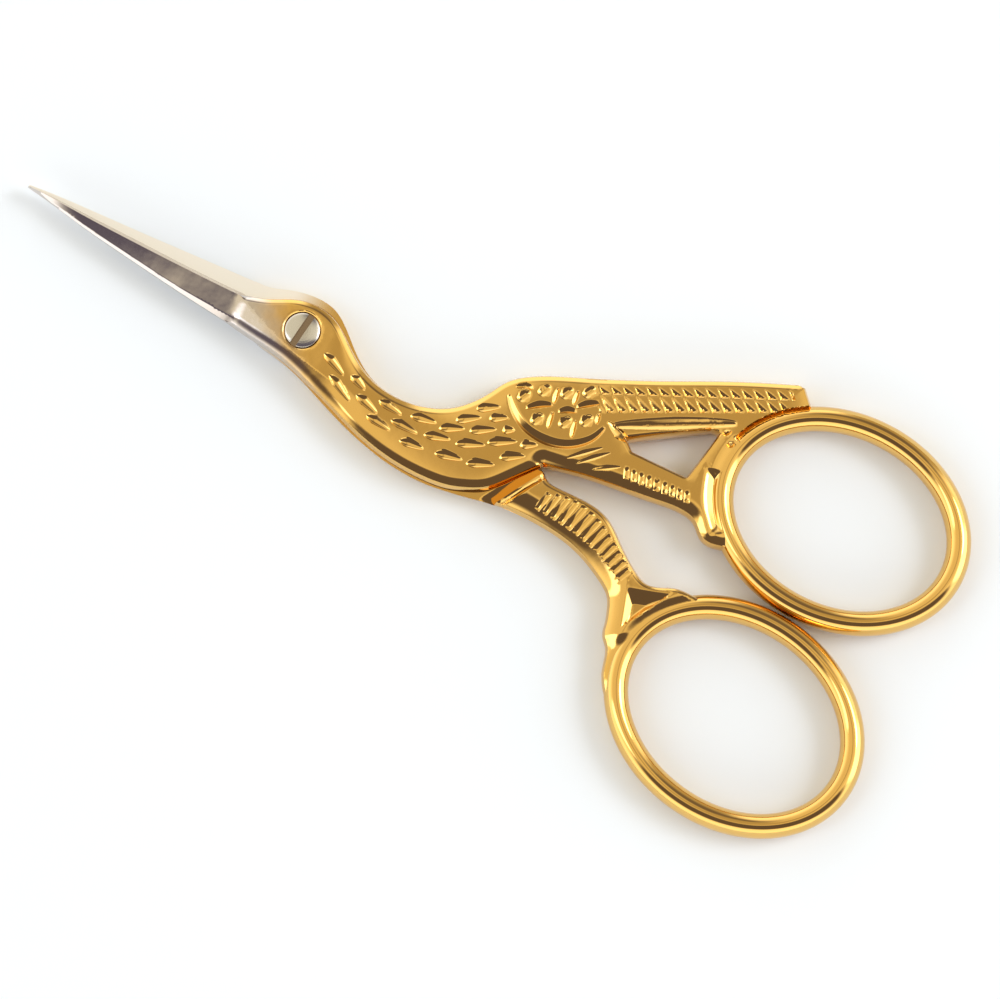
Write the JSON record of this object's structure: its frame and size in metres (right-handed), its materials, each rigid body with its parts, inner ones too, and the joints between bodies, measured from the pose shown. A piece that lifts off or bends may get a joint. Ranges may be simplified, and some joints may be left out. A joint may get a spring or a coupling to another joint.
{
  "type": "stork embroidery scissors",
  "caption": "Small scissors shaped as a stork: pointed steel blades form the bill, a gilt forged body, wing and legs lead to oval finger rings, on a slotted pivot screw.",
  "frame": {"origin": "on the pivot axis, at the flat rear face of the rear half's head, which lies in the plane that the closed scissors rest on", "axes": "+X from the blade tips to the finger rings along the closed blades, +Y to the stork's back and wing, +Z out of the front face along the pivot screw"},
  "size_m": [0.0899, 0.0395, 0.0034],
  "materials": {
    "gold_plate": "polished gold plate on forged steel, carved feather relief",
    "ground_steel": "ground and nickel-plated blade steel, bare at the blades",
    "screw_steel": "turned steel with a cut slot"
  },
  "bodies": {
    "front": {"front_half": "gold_plate"},
    "rear": {"rear_half": "gold_plate", "pivot_screw": "screw_steel"}
  },
  "joints": [
    {"name": "blade_pivot", "type": "hinge", "parent": "front", "child": "rear", "pos_m": [0, 0, 0.0016], "axis": [0, 0, -1], "range_deg": [0, 90]}
  ]
}
